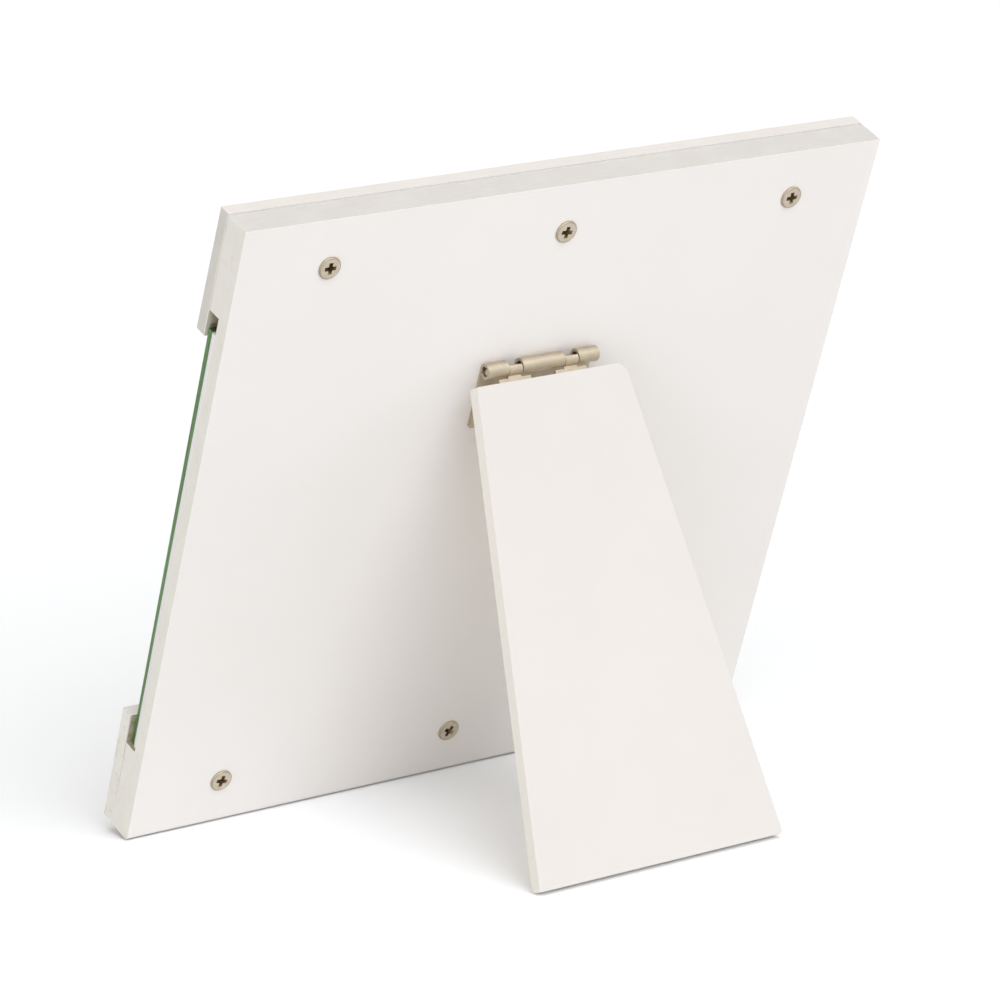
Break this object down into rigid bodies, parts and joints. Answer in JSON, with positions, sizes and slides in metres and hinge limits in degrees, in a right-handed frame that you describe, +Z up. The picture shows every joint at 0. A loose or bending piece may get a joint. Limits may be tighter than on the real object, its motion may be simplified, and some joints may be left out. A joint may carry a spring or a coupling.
{
  "type": "picture frame",
  "caption": "Reclining tabletop picture frame with a side-loading channel for pane, print and card, and a hinged easel leg.",
  "frame": {"origin": "On the table, under the middle of the whole footprint, from the front bottom edge to the foot of the opened leg", "axes": "+X along the width, to the left of the picture as its back is seen; -Y the way the picture faces; +Z up"},
  "size_m": [0.2036, 0.1178, 0.1828],
  "materials": {
    "white_board": "satin white paint",
    "white_leg": "satin white paint",
    "nickel": "satin warm nickel",
    "glass": "clear, with green edges",
    "print": "matt",
    "card": "matt"
  },
  "bodies": {
    "frame": {"backboard": "white_board", "top_rail": "white_board", "bottom_rail": "white_board", "top_rail_screws": "nickel", "bottom_rail_screws": "nickel", "hinge_fixed_leaf": "nickel", "hinge_pin": "nickel", "hinge_board_screws": "nickel"},
    "leg": {"easel_leg": "white_leg", "hinge_moving_leaf": "nickel", "hinge_leg_screws": "nickel"},
    "glass": {"glass_pane": "glass"},
    "picture": {"picture_print": "print", "backing_card": "card"}
  },
  "joints": [
    {"name": "leg_hinge", "type": "hinge", "parent": "frame", "child": "leg", "pos_m": [0, 0.00601, 0.12679], "axis": [1, 0, 0], "range_deg": [-43.7, 0]},
    {"name": "glass_slide", "type": "slide", "parent": "frame", "child": "glass", "axis": [1, 0, 0], "range_m": [-0.19, 0.19]},
    {"name": "picture_slide", "type": "slide", "parent": "frame", "child": "picture", "axis": [1, 0, 0], "range_m": [-0.19, 0.19]}
  ]
}
